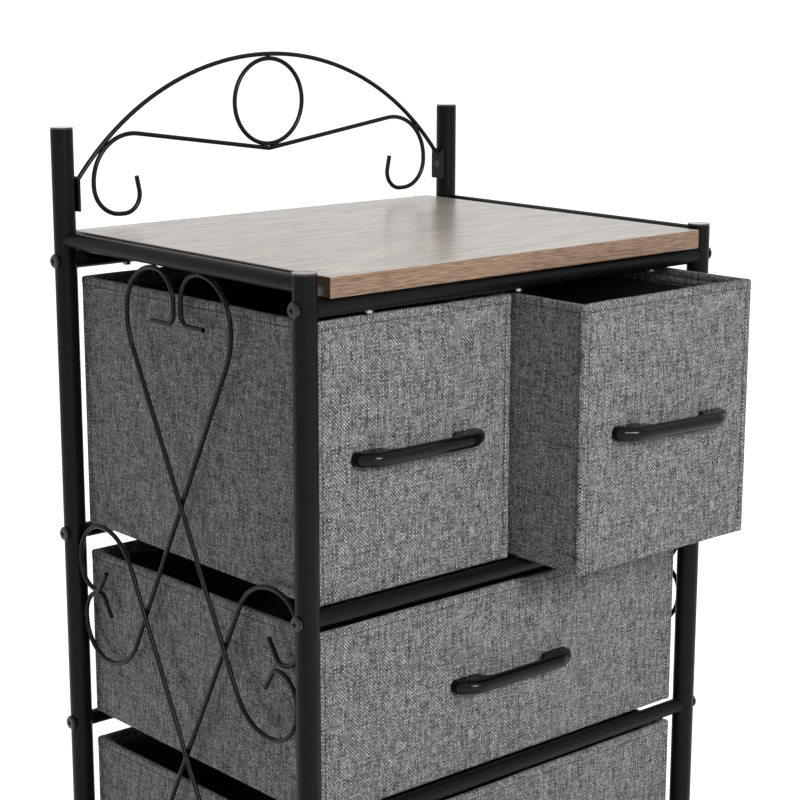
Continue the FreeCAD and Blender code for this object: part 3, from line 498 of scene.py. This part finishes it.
class FabricBox:
    """The sewn box of one drawer: where each point of its cloth lies."""

    def __init__(self, drawer, seed):
        self.drawer = drawer
        self.low, self.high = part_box(f"{drawer}_box")
        self.size = self.high - self.low
        self.middle = (self.low + self.high) / 2
        self.seed = seed
        self.stations = []
        walked = 0.0
        for side in range(4):
            straight = self.straight(side)
            fine = [distance * MM for distance, _ in ridge_of(side)]
            count = max(4, round((straight - fine[-1]) * 2 / GRID))
            plain = [fine[-1] + (2 * straight - 2 * fine[-1]) * step / count for step in range(1, count)]
            for along in fine + plain + [2 * straight - distance for distance in reversed(fine)]:
                self.stations.append((side, along - straight, 0.0, walked + along))
            walked += 2 * straight
            arc = math.pi / 2 * CLOTH_CORNER
            for step in range(1, CORNER_STEPS):
                turn = step / CORNER_STEPS
                self.stations.append((side, straight, turn, walked + arc * turn))
            walked += arc
        self.around = walked

    def half(self, side):
        return (self.size.x if side % 2 == 0 else self.size.y) / 2

    def reach(self, side):
        return self.half(side + 1)

    def straight(self, side):
        return self.half(side) - CLOTH_CORNER

    def give(self, side, along, height):
        """How far the cloth stands out from flat, and how far its rim dips, at one place of a wall."""
        share = max(-1.0, min(1.0, along / self.straight(side)))
        rise = height / self.size.z
        belly = (1 - share ** 4) * math.sin(math.pi * min(1.0, rise * 1.02))
        spot = Vector((along * SLACK_WAVES, height * SLACK_WAVES, self.seed + side * 5.3))
        slack = noise.noise(spot) * COARSE_SLACK + noise.noise(spot * FINE_SLACK_STEP) * FINE_SLACK
        near_rim = max(0.0, rise - (1 - RIM_BAND)) / RIM_BAND
        lean = noise.noise(Vector((along * LEAN_WAVES, self.seed * 2.7, side * 3.1))) * near_rim
        out = (BELLY * belly + SLACK * slack * (1 - share ** 6) + LEAN * lean * (1 - share ** 4)) * MM
        wave = noise.noise(Vector((along * RIM_WAVES, side * 2.2, self.seed))) * RIM_WAVE * (1 - share ** 6)
        dip = (wave - self.rim_sag(side, share)) * near_rim
        return out * min(1.0, height / SETTLED_HEIGHT), dip * MM

    def rim_sag(self, side, share):
        """How much lower the rim lies, from the front's level to the rear's."""
        front, rear = RIM_SAG[self.drawer]
        back = (0.0, (1 + share) / 2, 1.0, (1 - share) / 2)[side]
        return front + (rear - front) * back if side else front * abs(share) ** 8

    def ridge(self, side, along, height):
        """The sewn edge's rise near a corner, lowered at the rim where the hem is folded over it."""
        place = (self.straight(side) - abs(along)) / MM
        fade = min(1.0, max(0.0, (self.size.z - HEM - height) / RIDGE_FADE) + RIDGE_AT_HEM)
        return between(ridge_of(side), place) * fade * MM

    def point(self, station, inset, height, seamed=True):
        side, along, turn, _ = station
        out, dip = self.give(side, along, height)
        if seamed and inset < WALL / 2:
            out += self.ridge(side, along, height)
        angle = turn * math.pi / 2
        direction = SIDE_OUT[side] * math.cos(angle) + SIDE_ALONG[side] * math.sin(angle)
        spot = SIDE_ALONG[side] * along + SIDE_OUT[side] * (self.reach(side) - CLOTH_CORNER)
        spot += Vector((self.middle.x, self.middle.y, self.low.z + height + dip))
        rounding = max(CLOTH_CORNER - inset, INNER_ROUNDING)
        squeeze = inset + rounding - CLOTH_CORNER
        share = 1.0 if turn else along / self.straight(side)
        pull = (SIDE_OUT[side] + SIDE_ALONG[side] * share) * squeeze
        return spot + direction * (rounding + out) - pull


SIDE_OUT = (Vector((0, -1, 0)), Vector((1, 0, 0)), Vector((0, 1, 0)), Vector((-1, 0, 0)))
SIDE_ALONG = (Vector((1, 0, 0)), Vector((0, 1, 0)), Vector((-1, 0, 0)), Vector((0, -1, 0)))


def fabric_box(cloth):
    """The whole sewn box as one skin: linen outside and over the rim, black lining inside."""
    profile = wall_profile(cloth.size.z)
    points = [cloth.point(station, inset, height)
              for inset, height, _ in profile for station in cloth.stations]
    count = len(cloth.stations)
    faces = []
    lined = []
    for row in range(len(profile) - 1):
        for step in range(count):
            after = (step + 1) % count
            faces.append((row * count + step, row * count + after,
                          (row + 1) * count + after, (row + 1) * count + step))
            lined.append(1 if profile[row][2] and profile[row + 1][2] else 0)
    faces.append(tuple(reversed(range(count))))
    lined.append(0)
    last = (len(profile) - 1) * count
    faces.append(tuple(range(last, last + count)))
    lined.append(1)
    drawer = cloth.drawer
    piece = new_piece(f"{drawer}_cloth", points, faces, [LINEN, LINING], drawer)
    piece.data.polygons.foreach_set("material_index", lined)
    lay_cloth_map(piece.data, profile, cloth)
    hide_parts(f"{drawer}_box")


def lay_cloth_map(mesh, profile, cloth):
    """Unroll the cloth in metres: the walk round the drawer by the walk up its wall."""
    climbed = [0.0]
    for (inset, rise, _), (next_inset, next_rise, _) in zip(profile, profile[1:]):
        climbed.append(climbed[-1] + math.hypot(next_inset - inset, next_rise - rise))
    count = len(cloth.stations)
    layer = mesh.uv_layers.new(name=CLOTH_MAP)
    for polygon in mesh.polygons:
        corners = [mesh.loops[loop].vertex_index for loop in polygon.loop_indices]
        wraps = {corner % count for corner in corners} == {0, count - 1}
        for loop, corner in zip(polygon.loop_indices, corners):
            row, step = divmod(corner, count)
            walked = cloth.stations[step][3]
            if wraps and step == 0:
                walked = cloth.around
            layer.data[loop].uv = (walked, climbed[row])
            if len(corners) > 4:
                spot = mesh.vertices[corner].co
                layer.data[loop].uv = (spot.x, spot.y)


STITCH_RINGS = ((-0.5, 0.25), (-0.36, 0.85), (0.0, 1.0), (0.36, 0.85), (0.5, 0.25))
STITCH_SIDES = 6


def add_stitch(points, faces, middle, run, out):
    """One short length of thread lying on the cloth."""
    aside = run.cross(out).normalized()
    first = len(points)
    for share, fullness in STITCH_RINGS:
        for number in range(STITCH_SIDES):
            angle = 2 * math.pi * number / STITCH_SIDES
            spoke = aside * math.cos(angle) + out * math.sin(angle)
            points.append(middle + run * (share * STITCH_LENGTH) + spoke * (STITCH_RADIUS * fullness))
    for ring in range(len(STITCH_RINGS) - 1):
        for number in range(STITCH_SIDES):
            after = (number + 1) % STITCH_SIDES
            low = first + ring * STITCH_SIDES
            high = low + STITCH_SIDES
            faces.append((low + number, low + after, high + after, high + number))
    faces.append(tuple(first + number for number in reversed(range(STITCH_SIDES))))
    end = first + (len(STITCH_RINGS) - 1) * STITCH_SIDES
    faces.append(tuple(end + number for number in range(STITCH_SIDES)))


def stitches(cloth):
    """Thread along the hem outside and inside, and down the sewn edges of front and back."""
    points = []
    faces = []
    hem_rise = cloth.size.z - HEM + HEM_STITCH_RISE
    fold_rise = cloth.size.z - INNER_HEM + FOLD_STITCH_RISE
    for side in range(4):
        straight = cloth.straight(side)
        count = int(2 * straight / STITCH_PITCH)
        for number in range(count):
            along = (number + 0.5 - count / 2) * STITCH_PITCH
            station = (side, along, 0.0, 0.0)
            spot = cloth.point(station, HEM_STITCH_INSET, hem_rise, seamed=False)
            add_stitch(points, faces, spot, SIDE_ALONG[side], SIDE_OUT[side])
            if abs(along) < straight - FOLD_STITCH_CLEAR:
                spot = cloth.point(station, FOLD_STITCH_INSET, fold_rise)
                add_stitch(points, faces, spot, SIDE_ALONG[side], -SIDE_OUT[side])
    count = int((hem_rise - SEAM_STITCH_CLEAR) / STITCH_PITCH)
    for side in (0, 2):
        for end in (-1, 1):
            along = end * (cloth.straight(side) - SEAM_STITCH_PLACE)
            for number in range(count):
                height = SEAM_STITCH_LOW + (number + 0.5) * STITCH_PITCH
                spot = cloth.point((side, along, 0.0, 0.0), 0.0, height)
                add_stitch(points, faces, spot, Vector((0, 0, 1)), SIDE_OUT[side])
    new_piece(f"{cloth.drawer}_stitches", points, faces, [DARK_THREAD], cloth.drawer)


# Weld beads where wires meet each other, the tubes and the plates
BEAD_REACH = 0.45 * MM
BEAD_APART = 12 * MM
BEAD_RADIUS = 2.1 * MM
BEAD_TALLNESS = 1.25
BEAD_LUMP = 0.22
BEAD_SEED_STEP = 0.37
BEAD_RINGS = 7
BEAD_SIDES = 10


def touching_places(wire, others):
    """Middles of the places where a wire comes within a weld's gap of its neighbours."""
    groups = []
    for other in others:
        tree = BVHTree.FromPolygons([vertex.co for vertex in other.data.vertices],
                                    [polygon.vertices for polygon in other.data.polygons])
        for vertex in wire.data.vertices:
            spot, _, _, distance = tree.find_nearest(vertex.co)
            if spot is None or distance > BEAD_REACH:
                continue
            middle = (vertex.co + spot) / 2
            for group in groups:
                if (group[0] - middle).length < BEAD_APART:
                    group.append(middle)
                    break
            else:
                groups.append([middle])
    return [sum(group, Vector()) / len(group) for group in groups]


def add_bead(points, faces, middle, radius, seed):
    """A small lump of weld metal: an uneven egg, long side up."""
    first = len(points)
    for ring in range(BEAD_RINGS):
        polar = math.pi * (ring + 0.5) / BEAD_RINGS
        for number in range(BEAD_SIDES):
            angle = 2 * math.pi * number / BEAD_SIDES
            spoke = Vector((math.sin(polar) * math.cos(angle), math.sin(polar) * math.sin(angle),
                            BEAD_TALLNESS * math.cos(polar)))
            lump = 1 + BEAD_LUMP * noise.noise(spoke * 2.3 + Vector((seed, 0, 0)))
            points.append(middle + spoke * radius * lump)
    for ring in range(BEAD_RINGS - 1):
        for number in range(BEAD_SIDES):
            after = (number + 1) % BEAD_SIDES
            low = first + ring * BEAD_SIDES
            faces.append((low + BEAD_SIDES + number, low + BEAD_SIDES + after, low + after, low + number))
    faces.append(tuple(first + number for number in range(BEAD_SIDES)))
    last = first + (BEAD_RINGS - 1) * BEAD_SIDES
    faces.append(tuple(last + number for number in reversed(range(BEAD_SIDES))))


def weld_beads():
    """Beads wherever a wire touches another wire, a tube or a plate."""
    wires = [name for name in nodes if name.endswith("_wire") or name == "back_ring"]
    fixed = [name for name in nodes if name.endswith(("_post", "_side_tube", "_arch_plate"))]
    points = []
    faces = []
    for number, name in enumerate(wires):
        others = [nodes[other] for other in wires[number + 1:] + fixed]
        for place in touching_places(nodes[name], others):
            add_bead(points, faces, place, BEAD_RADIUS, len(points) * BEAD_SEED_STEP)
    new_piece("weld_beads", points, faces, [WIRE_COAT], "frame")


# Camera, light and stage
CAMERA_PLACE = (-1.110268, -1.245939, 0.909993)
CAMERA_YAW = 41.2407
CAMERA_PITCH = -12.3094
CAMERA_ROLL = 0.0919
CAMERA_LENS = 89.7944
CAMERA_SENSOR = 36


def place_camera():
    lens = bpy.data.cameras.new("photo_camera")
    lens.lens = CAMERA_LENS
    lens.sensor_width = CAMERA_SENSOR
    camera = bpy.data.objects.new("photo_camera", lens)
    camera.location = CAMERA_PLACE
    camera.rotation_euler = (math.radians(90 + CAMERA_PITCH), math.radians(-CAMERA_ROLL),
                             math.radians(-CAMERA_YAW))
    bpy.context.scene.collection.objects.link(camera)
    bpy.context.scene.camera = camera


def softbox(name, place, target, size, power, mirrored=True):
    """A round soft lamp aimed at a place."""
    lamp = bpy.data.lights.new(name, "AREA")
    lamp.shape = "DISK"
    lamp.size = size
    lamp.energy = power
    item = bpy.data.objects.new(name, lamp)
    item.location = place
    item.rotation_euler = (Vector(target) - Vector(place)).to_track_quat("-Z", "Y").to_euler()
    item.visible_glossy = mirrored
    bpy.context.scene.collection.objects.link(item)


KEY_LIGHT = ("key", (-0.35, -2.6, 1.75), (0.0, 0.0, 0.45), 1.1, 68.0)
FILL_LIGHT = ("fill", (-1.3, 0.35, 0.12), (-0.2, 0.05, 0.3), 0.6, 3.6)
AMBIENT = 0.2
BACKDROP = 0.95
BACKDROP_WAY = Vector((0.64, 0.74, 0.2)).normalized()
BACKDROP_EDGE = (0.35, 0.85)
FLOOR_HALF = 60.0
FLOOR_GREY = 0.8
FLOOR_GLOW = 0.9
NEAR_GLOW = 0.45
GLOW_REACH = (0.28, 0.58)


def linked_sum(tree, operation, first, second):
    item = tree.nodes.new("ShaderNodeMath")
    item.operation = operation
    tree.links.new(first, item.inputs[0])
    tree.links.new(second, item.inputs[1])
    return item.outputs[0]


def smooth_fade(tree, value, limits, results):
    """A value between two limits, moved smoothly to two results."""
    fade = tree.nodes.new("ShaderNodeMapRange")
    fade.interpolation_type = "SMOOTHSTEP"
    tree.links.new(value, fade.inputs[0])
    for number, setting in enumerate((*limits, *results), start=1):
        fade.inputs[number].default_value = setting
    return fade.outputs[0]


def seen_directly(tree):
    """1 for rays that show the stage: from the camera, in a mirror or through glass."""
    path = tree.nodes.new("ShaderNodeLightPath").outputs
    mirrored = linked_sum(tree, "MAXIMUM", path["Is Camera Ray"], path["Is Glossy Ray"])
    return linked_sum(tree, "MAXIMUM", mirrored, path["Is Transmission Ray"])


def light_world():
    """A dim studio with a bright backdrop behind the dresser; camera and mirrors see plain white."""
    world = bpy.data.worlds.new("studio")
    world.use_nodes = True
    bpy.context.scene.world = world
    tree = world.node_tree
    background = tree.nodes["Background"]
    background.inputs["Color"].default_value = (1, 1, 1, 1)
    way = tree.nodes.new("ShaderNodeVectorMath")
    way.operation = "DOT_PRODUCT"
    way.inputs[1].default_value = BACKDROP_WAY
    tree.links.new(tree.nodes.new("ShaderNodeTexCoord").outputs["Generated"], way.inputs[0])
    lit = smooth_fade(tree, way.outputs["Value"], BACKDROP_EDGE, (AMBIENT, BACKDROP))
    tree.links.new(linked_sum(tree, "MAXIMUM", seen_directly(tree), lit), background.inputs["Strength"])


def floor_finish():
    """Pale and dull, with a glow for what sees it directly that leaves the shadow near the feet."""
    material = bpy.data.materials.new("studio_floor")
    material.use_nodes = True
    tree = material.node_tree
    shader = tree.nodes["Principled BSDF"]
    shader.inputs["Base Color"].default_value = grey(FLOOR_GREY)
    shader.inputs["Roughness"].default_value = 1.0
    shader.inputs["Specular IOR Level"].default_value = 0.0
    away = tree.nodes.new("ShaderNodeVectorMath")
    away.operation = "LENGTH"
    tree.links.new(tree.nodes.new("ShaderNodeTexCoord").outputs["Object"], away.inputs[0])
    fade = smooth_fade(tree, away.outputs["Value"], GLOW_REACH, (NEAR_GLOW, FLOOR_GLOW))
    glow = tree.nodes.new("ShaderNodeEmission")
    tree.links.new(linked_sum(tree, "MULTIPLY", seen_directly(tree), fade), glow.inputs["Strength"])
    both = tree.nodes.new("ShaderNodeAddShader")
    tree.links.new(shader.outputs[0], both.inputs[0])
    tree.links.new(glow.outputs[0], both.inputs[1])
    tree.links.new(both.outputs[0], tree.nodes["Material Output"].inputs["Surface"])
    return material


def lay_floor():
    """A wide flat floor under the feet."""
    corners = [(-FLOOR_HALF, -FLOOR_HALF, 0), (FLOOR_HALF, -FLOOR_HALF, 0),
               (FLOOR_HALF, FLOOR_HALF, 0), (-FLOOR_HALF, FLOOR_HALF, 0)]
    mesh = bpy.data.meshes.new("studio_floor")
    mesh.from_pydata(corners, [], [(0, 1, 2, 3)])
    mesh.materials.append(floor_finish())
    floor = bpy.data.objects.new("studio_floor", mesh)
    bpy.context.scene.collection.objects.link(floor)


bpy.context.scene.view_settings.view_transform = "Standard"
dress_solids()
for number, drawer_name in enumerate(DRAWERS):
    drawer_cloth = FabricBox(drawer_name, SEED_STEP * number + SEED_FIRST)
    fabric_box(drawer_cloth)
    stitches(drawer_cloth)
weld_beads()
place_camera()
light_world()
softbox(*KEY_LIGHT)
softbox(*FILL_LIGHT, mirrored=False)
lay_floor()
